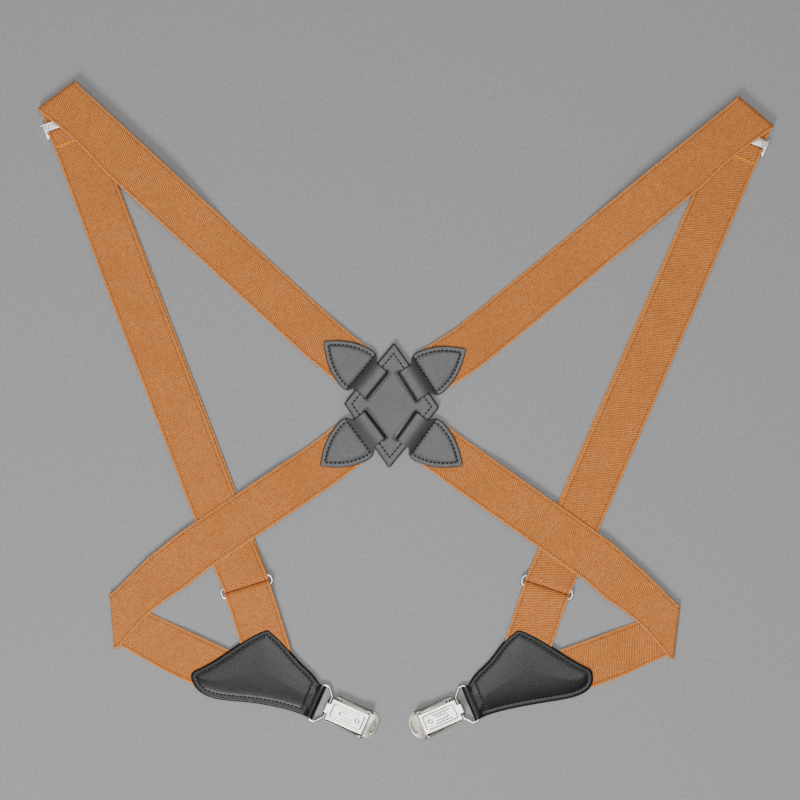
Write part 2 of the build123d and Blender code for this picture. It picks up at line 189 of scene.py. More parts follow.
def leather_material(name, base, gloss, shine):
    """Smooth cowhide: fine grain cells, worn patches, painted shade near the rounded cut edges and
    a pressed seam.
    """
    n = Nodes(name)
    here = n.place()
    fine = n.noise(here, 900.0, 4.0, 0.6)
    worn = tuple(min(1.0, c * 1.7) for c in base[:3]) + (1,)
    tone = n.mix(n.ramp(n.noise(here, 38.0, 3.0), 0.3, 0.75), base, worn)
    # Painted shade: the leather is darkened within 1.3 mm of its cut edges, where the rounded rim
    # turns away from the light.
    edge = n.ramp(n.value("rim"), 0.0, 1.3, 1.0, 0.0)
    tone = n.mix(n.times(edge, 0.8), tone, (0.004, 0.004, 0.004, 1))
    groove = n.ramp(n.value("seam"), 0.1, 0.6, 1.0, 0.0)
    rough = n.ramp(fine, 0.2, 0.8, gloss - 0.05, gloss + 0.1)
    pressed = n.bump(n.math("SUBTRACT", 1.0, groove), 0.0002, 0.3)
    grain = n.muladd(n.cells(here, 1500.0), 0.6, n.times(fine, 0.5))
    n.set(Base_Color=tone, Roughness=n.muladd(edge, 0.12, rough), Specular_IOR_Level=shine,
          Coat_Weight=0.35 * shine, Coat_Roughness=0.25,
          Normal=n.bump(grain, 0.00012, 0.45, pressed))
    return n.material


def metal_material(name, colour, rough, brushed=0.0):
    """Plated metal with hairline scratches and dulled patches, and painted shade in its pressed
    lines.
    """
    n = Nodes(name)
    here = n.place()
    dull = n.noise(here, 160.0, 3.0)
    stretched = n.add("Mapping", {"Vector": here, "Scale": (5200.0, 260.0, 400.0)})[0]
    lines = n.noise(stretched, 1.0, 3.0, 0.7)
    rough_map = n.ramp(dull, 0.3, 0.75, rough, rough + 0.14)
    rough_map = n.muladd(lines, 0.12 + 0.3 * brushed, rough_map)
    dulled = tuple(0.82 * c for c in colour[:3]) + (1,)
    tone = n.mix(n.ramp(dull, 0.35, 0.8, 0.0, 0.5), colour, dulled)
    # Painted shade: the pressed lines are coloured near black, as shade falls in the grooves.
    pressed = n.value("pressed")
    tone = n.mix(n.times(pressed, 0.85), tone, (0.10, 0.095, 0.085, 1))
    height = n.muladd(lines, 0.3 + brushed, n.times(n.noise(here, 2600.0, 2.0), 0.25))
    n.set(Base_Color=tone, Roughness=n.muladd(pressed, 0.25, rough_map), Metallic=1.0,
          Normal=n.bump(height, 0.00003, 0.08 + 0.2 * brushed))
    return n.material


def thread_material(name, dark, light):
    """Twisted sewing thread: plies wind round it. UV holds millimetres along and turns round."""
    n = Nodes(name)
    along, turns, both = n.uv()
    ply = n.wave(n.math("ADD", n.times(along, 7.0), n.times(turns, 12.566)))
    fuzz = n.noise(both, 6.0, 3.0)
    share = n.muladd(fuzz, 0.4, n.times(ply, 0.7))
    n.set(Base_Color=n.mix(share, dark, light), Roughness=n.ramp(fuzz, 0.2, 0.8, 0.5, 0.68),
          Normal=n.bump(ply, 0.0001, 0.7))
    return n.material


WEBBING = webbing_material()
LEATHER = leather_material("leather", (0.018, 0.018, 0.019, 1), 0.36, 0.5)
# Clip patch leather: smoother, and its base colour darkened as painted shade, as these patches lie
# away from the top light's reflection.
SHINY_SHADED_LEATHER = leather_material("leather_shiny_shaded", (0.006, 0.006, 0.0065, 1), 0.26, 0.24)
NICKEL = metal_material("nickel", (0.86, 0.84, 0.79, 1), 0.16)
# Painted shade: a darker copy of the nickel for the clip's base, pins and jaw.
SHADED_NICKEL = metal_material("nickel_shaded", (0.36, 0.34, 0.29, 1), 0.2)
BRUSHED = metal_material("nickel_brushed", (0.80, 0.79, 0.76, 1), 0.26, 0.6)
STEEL = metal_material("spring_steel", (0.52, 0.52, 0.54, 1), 0.3, 0.2)
BLACK_THREAD = thread_material("thread_black", (0.004, 0.004, 0.004, 1), (0.018, 0.018, 0.018, 1))
ORANGE_THREAD = thread_material("thread_orange", (1.0, 0.3, 0.004, 1), (1.0, 0.55, 0.02, 1))


# ------------------------------------------------------------------ mesh helpers
def make_object(name, points, faces, material, uv=None, values=None, sharp=40):
    mesh = bpy.data.meshes.new(name)
    mesh.from_pydata([tuple(p) for p in points], [], [tuple(f) for f in faces])
    mesh.validate()
    mesh.materials.append(material)
    if uv is not None:
        layer = mesh.uv_layers.new(name="UVMap")
        for loop in mesh.loops:
            layer.data[loop.index].uv = uv[loop.vertex_index]
    for key, numbers in (values or {}).items():
        attribute = mesh.attributes.new(key, "FLOAT", "POINT")
        attribute.data.foreach_set("value", np.asarray(numbers, np.float32))
    return finish_object(name, mesh, sharp)


def finish_object(name, mesh, sharp):
    """Smooth shading up to an angle, and an object that shows the mesh."""
    mesh.polygons.foreach_set("use_smooth", [True] * len(mesh.polygons))
    mesh.set_sharp_from_angle(angle=math.radians(sharp))
    obj = bpy.data.objects.new(name, mesh)
    bpy.context.scene.collection.objects.link(obj)
    return obj


def settle(obj, slot, body, *nodes):
    """Hides the CAD nodes that a piece stands for and hangs it on the body that it rides on. The
    slot is not used.
    """
    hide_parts(*nodes)
    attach(obj, body)


def turn(vector, angle):
    c, s = math.cos(angle), math.sin(angle)
    return np.array([vector[0] * c - vector[1] * s, vector[0] * s + vector[1] * c, 0.0])


def unit(vector):
    return vector / np.linalg.norm(vector)


def clamp(value):
    return min(1.0, max(0.0, value))


def ease(share):
    return share * share * (3 - 2 * share)


def run_along(points):
    """Distance walked along points, at each of them."""
    return np.concatenate([[0], np.cumsum(np.linalg.norm(np.diff(points, axis=0), axis=1))])


def both_faces(across):
    """Once across the upper face and back across the lower one: (place across, face)."""
    return [(v, 1) for v in across] + [(v, -1) for v in reversed(across)]


def skin(rows, size, closed=False, flipped=False):
    """Faces over rows of size points each, capped at both ends unless it is closed."""
    faces = []
    for i in range(rows if closed else rows - 1):
        j = (i + 1) % rows
        for k in range(size):
            n = (k + 1) % size
            a, b, c, d = i * size + k, i * size + n, j * size + n, j * size + k
            faces.append((a, d, c, b) if flipped else (a, b, c, d))
    first, last = tuple(range(size)), tuple(range((rows - 1) * size, rows * size))
    if not closed:
        faces += [first, last[::-1]] if flipped else [first[::-1], last]
    return faces


def free_edges(polygons):
    """Edges that only one of the polygons has."""
    edges = {}
    for corners in polygons:
        for a, b in zip(corners, corners[1:] + corners[:1]):
            if (b, a) in edges:
                del edges[(b, a)]
            else:
                edges[(a, b)] = True
    return list(edges)


def joint_frame(name):
    """Pivot, heading across the axis (horizontal) and the axis itself."""
    joint = joints[name]
    axis = unit(np.array(joint["axis"], float))
    return np.array(joint["pos_m"], float), turn(axis, math.pi / 2), axis


def tree_of(obj):
    return BVHTree.FromPolygons([v.co.copy() for v in obj.data.vertices],
                                [tuple(p.vertices) for p in obj.data.polygons])


def hit(tree, origin, direction):
    place, _, _, distance = tree.ray_cast(Vector(origin), Vector(direction))
    return (None, None) if place is None else (np.array(place), distance)


def surface_height(tree, x, y):
    place, _ = hit(tree, (x, y, ABOVE), (0, 0, -1))
    return None if place is None else place[2]


# ------------------------------------------------------------------ webbing
WIDTH = 0.035  # of the webbing, as it is sold
HALF = WIDTH / 2
THICK = 1.25 * MM
CLEAR = 0.02 * MM  # between the webbing and the faces of its CAD layer
STEP = 0.003  # between the rows of a strap
ABOVE = 0.05  # higher than anything in the part
SEWN_AT, LEG_AT = 18.4 * MM, 48.5 * MM  # a strap's end and its bare leg, from the petal's pivot
RING_PITCH = 3.75 * MM  # from the middle of an oval ring to each of its bars
RING_REACH = 0.7 * MM  # how far webbing stands off the bar that it turns round
ACROSS = [-1, -0.985, -0.955, -0.92, -0.8, -0.6, -0.4, -0.2, 0, 0.2, 0.4, 0.6, 0.8, 0.92,
          0.955, 0.985, 1]
ROUND_FROM = 0.955  # share of the half width where the edge starts to round off
BEAD, BEAD_HEIGHT = (0.91, 0.99), 0.06 * MM  # raised selvage


def follow_band(node, start, heading):
    """Walks along a flat CAD strap: list of (middle, heading) until the strap ends."""
    widest, most = 0.06, 400
    tree = tree_of(frame["nodes"][node])
    here, way, walked = np.array(start, float), unit(np.array(heading, float)), []
    for _ in range(most):
        over, _ = hit(tree, (here[0], here[1], ABOVE), (0, 0, -1))
        if over is None:
            break
        under, _ = hit(tree, (here[0], here[1], over[2] - 1e-5), (0, 0, -1))
        here[2] = (over[2] + under[2]) / 2
        side = turn(way, math.pi / 2)
        _, left = hit(tree, here, side)
        _, right = hit(tree, here, -side)
        if left is None or right is None or left + right > widest:
            break
        here = here + side * (left - right) / 2
        if len(walked) > 1:
            way = unit(way * 0.6 + unit((here - walked[-2][0]) * (1, 1, 0)) * 0.4)
        walked.append((here.copy(), way.copy()))
        here = here + way * STEP
    return walked


def fold_line(node, way):
    """Where a strap turns back: middle of the fold line, its direction and the way outwards."""
    corners = np.array([v.co[:] for v in frame["nodes"][node].data.vertices])
    top = corners[corners[:, 2] > corners[:, 2].max() - 1e-6] * (1, 1, 0)
    along, across = top @ way, top @ turn(way, math.pi / 2)
    near_fold = across[along > along.max() - 0.05]
    middle = near_fold.min() / 2 + near_fold.max() / 2
    ends = []
    for sign in (1, -1):
        group = top[sign * (across - middle) > 0]
        ends.append(group[np.argmax(group @ way)])
    line = unit(ends[0] - ends[1])
    out = turn(line, math.pi / 2)
    return (ends[0] + ends[1]) / 2, line, out if np.dot(out, way) > 0 else -out


def up_to_fold(walked, point, out):
    """Cuts a walked strap short of its fold line and runs it straight on to the fold."""
    kept = []
    for place, way in walked:
        skew = abs(np.dot(turn(way, math.pi / 2), out))
        if np.dot(point - place, out) < HALF * skew + 2 * STEP:
            break
        kept.append((place, way))
    last, _ = kept[-1]
    rest = (point - last) * (1, 1, 0)
    count = int(np.linalg.norm(rest) / STEP)
    return kept + [(last + rest * i / count, unit(rest)) for i in range(1, count + 1)]


def smooth(values, passes):
    values = np.array(values, float)
    for _ in range(passes):
        values[1:-1] = (values[:-2] + 2 * values[1:-1] + values[2:]) / 4
    return values


def half_turn(point, out, z_from, z_to, reach=0.0, count=14):
    """Points and normals of a half circle round a fold line, from height z_from to z_to."""
    middle_z, radius = (z_from + z_to) / 2, (z_from - z_to) / 2
    path, normals = [], []
    for i in range(1, count):
        a = math.pi * i / count
        up = np.array([0, 0, math.cos(a) * radius])
        path.append(np.array([point[0], point[1], middle_z]) + up
                    + out * (abs(radius) + reach) * math.sin(a))
        normals.append(unit(np.array([0, 0, math.cos(a)]) * (1 if radius > 0 else -1)
                            + out * math.sin(a)))
    return path, normals


class Strap:
    """Collects the line of a strap, with the direction of its width and of its face."""

    def __init__(self):
        self.path, self.sides, self.faces, self.halves, self.skews = [], [], [], [], []

    def add(self, point, side, face, half=HALF, skew=0.0):
        self.path.append(np.array(point, float))
        self.sides.append(np.array(side, float))
        self.faces.append(np.array(face, float))
        self.halves.append(half)
        self.skews.append(skew)

    def join(self, other, widest=9.0):
        """Carries on with another stretch, its width turned the same way round."""
        rows = zip(other.path, other.sides, other.faces, other.halves, other.skews)
        for point, side, face, half, skew in rows:
            sign = 1 if np.dot(side, self.sides[-1]) > 0 else -1
            self.add(point, sign * side, face, min(half, widest * HALF), sign * skew)

    def flat(self, walked, face=1.0, end_line=None, start_line=None):
        """Flat stretch; its cross lines swing round to the fold lines at either end."""
        swing = 27.0  # millimetres
        heights = smooth([p[2] for p, _ in walked], 6)
        for i, (point, way) in enumerate(walked):
            square = side = turn(way, math.pi / 2)
            for line, near in ((end_line, len(walked) - 1 - i), (start_line, i)):
                if line is not None:
                    share = ease(max(0.0, 1 - near * 3.0 / swing))
                    whole = line if np.dot(line, square) > 0 else -line
                    side = side * (1 - share) + whole * share
            side = unit(side)
            half = HALF / abs(np.dot(side, square))
            place = (point[0], point[1], heights[i])
            self.add(place, side, (0, 0, face), half, np.dot(side, way) * half)

    def fold(self, point, line, out, z_to):
        """Turns the strap over at a fold line."""
        line = line if np.dot(line, self.sides[-1]) > 0 else -line
        self.turned = len(self.path)
        arc, outward = half_turn(point, out, self.path[-1][2], z_to)
        half, skew = self.halves[-1], self.skews[-1]
        face = np.sign(self.faces[-1][2])
        for place, normal in zip(arc, outward):
            self.add(place, line, normal * face, half, skew)

    def loop(self, bar, out, side, z_from, z_to):
        """Turns round a bar of the oval ring."""
        for place, normal in zip(*half_turn(bar, out, z_from, z_to, RING_REACH)):
            self.add(place, side, normal)

    def pinch(self, fold_at, at_fold, beside, reach):
        """Draws the edge at the sharp end of a fold inwards, as webbing curls there."""
        away = [np.linalg.norm((point - fold_at)[:2]) for point in self.path]
        end = 1 if self.skews[int(np.argmin(away))] >= 0 else -1
        for i, point in enumerate(self.path):
            share = max(0.0, 1 - away[i] / reach)
            amount = at_fold * ease(share)
            if i < self.turned:
                amount += beside * 4 * share * (1 - share)
            self.path[i] = point - self.sides[i] * end * amount / 2
            self.halves[i] -= amount / 2

    def build(self, name, *nodes, start_mm=0.0, held="folded", rests_on=()):
        """Closed skin round the line, in place of the CAD nodes, which it hides. Returns it and its
        length.
        """
        run = run_along(np.array(self.path))
        ring = both_faces(ACROSS)
        points, uv = [], []
        for i, place in enumerate(self.path):
            normal = unit(self.faces[i])
            for v, face in ring:
                edge = max(0.0, abs(v) - ROUND_FROM) / (1 - ROUND_FROM)
                lift = THICK / 2 * (0.35 + 0.65 * math.sqrt(max(0.0, 1 - edge ** 2)))
                if BEAD[0] < abs(v) < BEAD[1]:
                    lift += BEAD_HEIGHT
                points.append(place + self.sides[i] * self.halves[i] * v + normal * face * lift)
                uv.append((start_mm + (run[i] + self.skews[i] * v) * 1000, v * 17.5))
        faces = skin(len(self.path), len(ring), flipped=True)
        obj = make_object(name, points, faces, WEBBING, uv=uv, sharp=60)
        length = run[-1]
        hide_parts(*nodes)
        return obj, length


def petal_to_fold(petal, leg_node, near_end):
    """Strap from its sewn end inside a petal, along its leg, up to the fold line."""
    pivot, heading, _ = joint_frame("petal_swing_" + petal)
    sewn = pivot + heading * SEWN_AT
    sewn[2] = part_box("strap_end_" + petal)[0].z + THICK / 2
    leg = follow_band(leg_node, pivot + heading * LEG_AT, heading)
    fold_at, line, out = fold_line(leg_node, leg[-12 if near_end else len(leg) // 2][1])
    approach = [(sewn + heading * d * MM, heading) for d in range(0, 29, 3)]
    strap = Strap()
    strap.flat(approach + up_to_fold(leg, fold_at, out), end_line=line)
    return strap, sewn, heading, fold_at, line, out


def blend_at_petal(obj, sewn, heading):
    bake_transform(obj)


def front_strap(tag, petal):
    """Petal, leg, shoulder fold and the first part of the lower run."""
    leg_node, run_node = "front_leg_" + tag, "front_run_" + tag
    strap, sewn, heading, fold_at, line, out = petal_to_fold(petal, leg_node, False)
    run_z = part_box(run_node)[0].z + THICK / 2 + CLEAR
    strap.fold(fold_at, line, out, run_z)
    slide = unit(np.array(joints["adjuster_slide_" + tag]["axis"], float))
    past_fold = 0.066
    down = [(np.array([*(fold_at + slide * STEP * i)[:2], run_z]), slide)
            for i in range(int(past_fold / STEP))]
    lower = Strap()
    lower.flat(down, face=-1.0, start_line=line)
    strap.join(lower)
    strap.pinch(fold_at, at_fold=0.2 * MM, beside=2.2 * MM, reach=0.06)
    obj, length = strap.build("front_strap_upper_" + tag, "strap_end_" + petal, leg_node)
    blend_at_petal(obj, sewn, heading)
    return slide, run_z, down[-1][0], length


def ring_frame(tag):
    """Middle of an oval ring, the direction of its bars and the way down the strap."""
    centre, _, line = joint_frame("ring_rock_" + tag)
    return centre, line, turn(line, -math.pi / 2)


def lower_run(tag, run_z, split_at, length):
    """Lower layer down to the ring and its turn round the upper bar, with a slight bow."""
    bow, bow_over, bow_end = 0.4 * MM, 0.2, 0.03
    centre, line, down = ring_frame(tag)
    bar = centre - down * RING_PITCH
    total = np.linalg.norm((bar - split_at)[:2])
    heading = unit((bar - split_at) * (1, 1, 0))
    square = turn(heading, math.pi / 2)
    inward = 1.0 if tag == "l" else -1.0
    strap = Strap()
    strap.flat([(np.array([*(split_at + heading * d)[:2], run_z]), heading)
                for d in np.arange(0, total - 0.001, STEP)], face=-1.0, end_line=line)
    for i, place in enumerate(strap.path):
        share = min(1.0, np.linalg.norm(place - split_at) / bow_over)
        near = min(1.0, np.linalg.norm(place - bar) / bow_end)
        strap.path[i] = place + square * inward * bow * share * near
    side = line if np.dot(line, square) > 0 else -line
    strap.add((bar[0], bar[1], run_z), side, (0, 0, -1))
    top_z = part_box("front_run_" + tag)[1].z - THICK / 2 - CLEAR
    strap.loop(bar, down, side, run_z, top_z)
    strap.add((bar[0], bar[1], top_z), side, (0, 0, 1))
    obj, run_length = strap.build("front_strap_lower_" + tag, "front_run_" + tag,
                                  start_mm=length * 1000)
    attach(obj, "harness")
    return bar, top_z, side, length + run_length


def return_run(tag, bar, top_z, side, length, tail_at):
    """Upper layer from the ring to the adjuster, built at one length."""
    sink_over, swing, bow, bow_end = 0.026, 0.03, 1.3 * MM, 0.12
    heading = unit((tail_at - bar) * (1, 1, 0))
    total = np.linalg.norm((tail_at - bar)[:2])
    low_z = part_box("front_return_" + tag)[0].z + THICK / 2 + 0.05 * MM
    square = turn(heading, math.pi / 2)
    side = side if np.dot(side, square) > 0 else -side
    outward = -1.0 if tag == "l" else 1.0
    strap = Strap()
    for d in np.arange(0, total, STEP):
        z = top_z + (low_z - top_z) * ease(clamp((d - 0.001) / sink_over))
        near = min(1.0, d / swing) * min(1.0, (total - d) / bow_end)
        place = bar + heading * d - square * outward * bow * near
        share = max(0.0, 1 - d / swing)
        strap.add((place[0], place[1], z), unit(square * (1 - share) + side * share), (0, 0, 1))
    end = bar + heading * total
    strap.add((end[0], end[1], low_z), square, (0, 0, 1))
    obj, run_length = strap.build("front_strap_return_" + tag, "front_return_" + tag,
                                  start_mm=length * 1000, held="laid",
                                  rests_on=["front_strap_lower_" + tag])
    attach(obj, "harness")
    tuple(bar)
    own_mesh(obj)
    return length + run_length


def webbing_tail(tag, centre, slide, length):
    """End of the front strap round the adjuster bar, with its row of bright stitches."""
    low_box, high_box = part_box("webbing_tail_" + tag)
    square = turn(slide, -math.pi / 2)
    bend = 2.9 * MM
    under_z, over_z = low_box.z + THICK / 2, high_box.z - THICK / 2
    middle_z, radius = (over_z + under_z) / 2, (over_z - under_z) / 2
    profile = [(17.0 * MM, under_z + 0.05 * MM, (0, 1))]
    for x, rise in ((15.5, 1.9), (14.2, 2.05), (12.5, 2.2), (9.0, 2.35)):
        profile.append((x * MM, low_box.z + rise * MM, (0, 1)))
    profile += [(6.0 * MM, over_z - 0.1 * MM, (0, 1)), (4.0 * MM, over_z, (0, 1)),
                (bend, over_z, (0, 1))]
    for i in range(1, 12):
        a = math.pi * i / 12
        profile.append((bend - radius * math.sin(a), middle_z + radius * math.cos(a),
                        (-math.sin(a), math.cos(a))))
    profile += [(x, under_z, (0, -1)) for x in (bend, 6 * MM, 10 * MM, 13.6 * MM)]
    strap = Strap()
    for x, z, (nx, nz) in profile:
        place = centre + slide * x
        strap.add((place[0], place[1], z), square, unit(slide * nx + np.array([0, 0, nz])))
    obj, _ = strap.build("webbing_tail_looks_" + tag, "webbing_tail_" + tag,
                         start_mm=length * 1000, rests_on=["adjuster_frame_" + tag])
    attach(obj, "adjuster_" + tag)
    row_at, row_half = 13.9 * MM, 15.6
    row = [centre + slide * row_at + square * y * MM for y in np.linspace(-row_half, row_half, 61)]
    sew("adjuster_stitches_" + tag, row, tree_of(obj), "adjuster_" + tag, 3.2, 2.8, 0.8,
        ORANGE_THREAD, slant=0.35)


def back_strap(tag, petal):
    """Petal, leg over the front strap, hip fold and the return into the clip patch."""
    leg_node, return_node = "back_leg_" + tag, "back_return_" + tag
    strap, sewn, heading, fold_at, line, out = petal_to_fold(petal, leg_node, True)
    low_z = THICK / 2 + CLEAR
    strap.fold(fold_at, line, out, low_z)
    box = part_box(return_node)
    centre = np.array((box[0] + box[1]) / 2)
    walked = follow_band(return_node, centre, (centre - fold_at) * (1, 1, 0))
    away = unit((walked[len(walked) // 2][0] - fold_at) * (1, 1, 0))
    tree = tree_of(frame["nodes"][return_node])
    back, most, first = [], 60, 3
    for step in range(most):
        place = fold_at * (1, 1, 0) + away * STEP * step
        over = surface_height(tree, place[0], place[1])
        if over is None and step > first:
            break
        place[2] = low_z if over is None else max(low_z, over - THICK / 2 - 0.03 * MM)
        back.append((place, away))
    returned = Strap()
    returned.flat(back, face=-1.0, start_line=line)
    strap.join(returned, widest=1.35)
    strap.pinch(fold_at, at_fold=3.2 * MM, beside=2.6 * MM, reach=0.055)
    obj, _ = strap.build("back_strap_" + tag, "strap_end_" + petal, leg_node, return_node)
    blend_at_petal(obj, sewn, heading)


def drop_strap(tag):
    """Short strap doubled through the ring: turn round the lower bar and two layers."""
    sink_over, into_patch = 0.014, 0.026
    centre, line, down = ring_frame(tag)
    bar = centre + down * RING_PITCH
    node = "drop_strap_" + tag
    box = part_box(node)
    z_low, z_high = box[0].z + THICK / 2 + CLEAR, box[1].z - THICK / 2 - CLEAR
    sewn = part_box("back_return_" + tag)[1].z - 1.3 * MM
    tree = tree_of(frame["nodes"][node])
    _, length = hit(tree, bar + down * 0.02 + np.array([0, 0, sewn + 1.0 * MM - bar[2]]), down)
    length = length + into_patch
    under_z, over_z = sewn + THICK / 2 + CLEAR, sewn + THICK * 1.5 + 0.12 * MM
    strap = Strap()

    def layer(distances, z_ring, z_sewn, face):
        for d in distances:
            place = bar + down * d
            z = z_ring + (z_sewn - z_ring) * ease(clamp((d - 0.001) / sink_over))
            strap.add((place[0], place[1], z), line, (0, 0, face))

    layer(np.arange(length, 0.0, -STEP), z_low, under_z, -1)
    strap.add((bar[0], bar[1], z_low), line, (0, 0, -1))
    strap.loop(bar, -down, line, z_low, z_high)
    layer(np.arange(0.0, length, STEP), z_high, over_z, 1)
    obj, _ = strap.build("drop_strap_looks_" + tag, node, rests_on=["oval_ring_looks_" + tag])
    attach(obj, "harness")


# ------------------------------------------------------------------ thread
def tube(points, radius, closed=False, sides=10, start_mm=0.0, taper=False):
    """Vertices, faces and UV of a round tube along points."""
    points = np.array(points, float)
    count = len(points)
    if closed:
        tangents = np.roll(points, -1, axis=0) - np.roll(points, 1, axis=0)
    else:
        tangents = np.gradient(points, axis=0)
    lengths = run_along(points)
    vertices, uv = [], []
    for i in range(count):
        t = unit(tangents[i])
        a = np.cross(t, (0, 0, 1.0))
        a = np.array([1.0, 0, 0]) if np.linalg.norm(a) < 1e-6 else unit(a)
        b = np.cross(t, a)
        r = radius
        if taper:
            share = abs(2 * i / (count - 1) - 1)
            r = radius * math.sqrt(max(0.04, 1 - share ** 3))
        for k in range(sides):
            angle = 2 * math.pi * k / sides
            vertices.append(points[i] + (a * math.cos(angle) + b * math.sin(angle)) * r)
            uv.append((start_mm + lengths[i] * 1000, k / sides))
    return vertices, skin(count, sides, closed), uv


def sew(name, line, tree, body, pitch, length, radius, material=BLACK_THREAD, slant=0.0):
    """Row of stitches on a surface, sizes in millimetres: each dips into it at both ends."""
    depth, ahead, arch_share = 0.35, 0.0004, 0.55
    line = np.array([p[:2] for p in line], float)
    run = run_along(line)
    at = lambda s: np.array([np.interp(s, run, line[:, 0]), np.interp(s, run, line[:, 1])])
    count = max(1, int(round(run[-1] / (pitch * MM))))
    vertices, faces, uv = [], [], []
    for i in range(count):
        centre = (i + 0.5) * run[-1] / count
        points = []
        for share in np.linspace(-0.5, 0.5, 7):
            s = min(max(centre + share * length * MM, 0), run[-1])
            further = min(s + ahead, run[-1])
            dx, dy = at(further) - at(further - ahead)
            offset = slant * share * length * MM / (math.hypot(dx, dy) or 1.0)
            x, y = at(s) + np.array([-dy, dx]) * offset
            z = surface_height(tree, x, y)
            if z is not None:
                arch = (1 - (2 * share) ** 2) * radius * MM * arch_share
                points.append((x, y, z + arch - radius * MM * depth * (2 * share) ** 2))
        if len(points) < 4:
            continue
        v, f, t = tube(points, radius * MM, sides=8, start_mm=i * pitch, taper=True)
        faces += [tuple(k + len(vertices) for k in face) for face in f]
        vertices += v
        uv += t
    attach(make_object(name, vertices, faces, material, uv=uv), body)


# ------------------------------------------------------------------ leather
RIM_RADIUS = 1.3 * MM  # rounding of a cut leather edge


def flat_loops(node, height):
    """Outlines of the flat faces of a CAD node that lie at one height."""
    mesh = frame["nodes"][node].data
    key = {v.index: (round(v.co.x, 6), round(v.co.y, 6)) for v in mesh.vertices
           if abs(v.co.z - height) < 2e-5}
    following = {}
    for a, b in free_edges([[key[i] for i in polygon.vertices] for polygon in mesh.polygons
                            if all(i in key for i in polygon.vertices)]):
        following.setdefault(a, []).append(b)

    def step(corner):
        after = following[corner].pop()
        if not following[corner]:
            del following[corner]
        return after

    loops = []
    while following:
        start = next(iter(following))
        loop, here = [start], step(start)
        while here != start and here in following:
            loop.append(here)
            here = step(here)
        if len(loop) > 2:
            loops.append(np.array(loop))
    return loops


def feet_on(points, p, q):
    """Nearest point of the line p to q for each point, and how far it is."""
    d = q - p
    t = np.clip(((points - p) @ d) / max(d @ d, 1e-12), 0, 1)
    feet = p + t[:, None] * d
    return feet, np.linalg.norm(points - feet, axis=1)


def inside_distance(points, loops):
    """Distance to the nearest outline, positive inside the leather, and the nearest points."""
    points = np.asarray(points, float)
    nearest = np.full(len(points), 1e9)
    inside = np.zeros(len(points), bool)
    foot = np.zeros_like(points)
    for loop in loops:
        for p, q in zip(loop, np.roll(loop, -1, axis=0)):
            if (q - p) @ (q - p) < 1e-16:
                continue
            feet, distance = feet_on(points, p, q)
            closer = distance < nearest
            nearest[closer] = distance[closer]
            foot[closer] = feet[closer]
            crosses = (p[1] > points[:, 1]) != (q[1] > points[:, 1])
            with np.errstate(divide="ignore", invalid="ignore"):
                x = (q[0] - p[0]) * (points[:, 1] - p[1]) / (q[1] - p[1]) + p[0]
            inside ^= crosses & (points[:, 0] < x)
    return np.where(inside, nearest, -nearest), foot


def leather_plate(name, loops, cell, top, bottom, seam, material=LEATHER):
    """Leather cut to outlines: faces from the top and bottom height functions, rounded rim."""
    outside, least_inside, rim_out = 0.62, 0.25, 0.35 * MM
    corners = np.concatenate(loops)
    lo, hi = corners.min(0) - 2 * cell, corners.max(0) + 2 * cell
    nx, ny = (np.ceil((hi - lo) / cell)).astype(int) + 1
    gx, gy = np.meshgrid(lo[0] + np.arange(nx) * cell, lo[1] + np.arange(ny) * cell, indexing="ij")
    grid = np.stack([gx.ravel(), gy.ravel()], axis=1)
    depth, foot = inside_distance(grid, loops)
    keep = depth.reshape(nx, ny)
    cells = []
    for i in range(nx - 1):
        for j in range(ny - 1):
            block = keep[i:i + 2, j:j + 2]
            if block.min() > -outside * cell and block.max() > least_inside * cell:
                a, b = i * ny + j, (i + 1) * ny + j
                cells.append((a, b, b + 1, a + 1))
    edges = free_edges(cells)
    rim = {a for edge in edges for a in edge}
    used = sorted({k for corners in cells for k in corners})
    index = {k: n for n, k in enumerate(used)}
    flat = grid[used].copy()
    flat_depth = depth[used].copy()
    for n, k in enumerate(used):
        if k in rim:
            flat[n] = foot[k]
            flat_depth[n] = 0.0
        elif depth[k] < 0.3 * cell:
            flat_depth[n] = max(depth[k], 0.1 * cell)
    count = len(used)
    upper = np.column_stack([flat, top(flat, flat_depth)])
    lower = np.column_stack([flat, bottom(flat, flat_depth)])
    points = [*upper, *lower]
    faces = []
    for corners in cells:
        ids = [index[k] for k in corners]
        faces += [tuple(ids), tuple(count + k for k in reversed(ids))]
    middle_of = {}
    rim_values = [*flat_depth, *flat_depth]
    for a, b in edges:
        ia, ib = index[a], index[b]
        for k, grid_k in ((ia, a), (ib, b)):
            if k not in middle_of:
                middle_of[k] = len(points)
                inward = grid[grid_k] - foot[grid_k]
                size = np.linalg.norm(inward)
                inward = inward / size * np.sign(depth[grid_k]) if size > 1e-9 else inward * 0
                z = (upper[k][2] + lower[k][2]) / 2
                points.append(np.array([*(flat[k] + inward * rim_out), z]))
                rim_values.append(0.0)
        faces.append((ib, ia, middle_of[ia], middle_of[ib]))
        faces.append((middle_of[ib], middle_of[ia], count + ia, count + ib))
    points = np.array(points)
    values = {"rim": np.array(rim_values) * 1000, "seam": seam(points[:, :2]) * 1000}
    return make_object(name, points, faces, material, values=values, sharp=75)


def distance_to_lines(points, lines):
    nearest = np.full(len(points), 1.0)
    for line in lines:
        for p, q in zip(line[:-1], line[1:]):
            nearest = np.minimum(nearest, feet_on(points, p, q)[1])
    return nearest


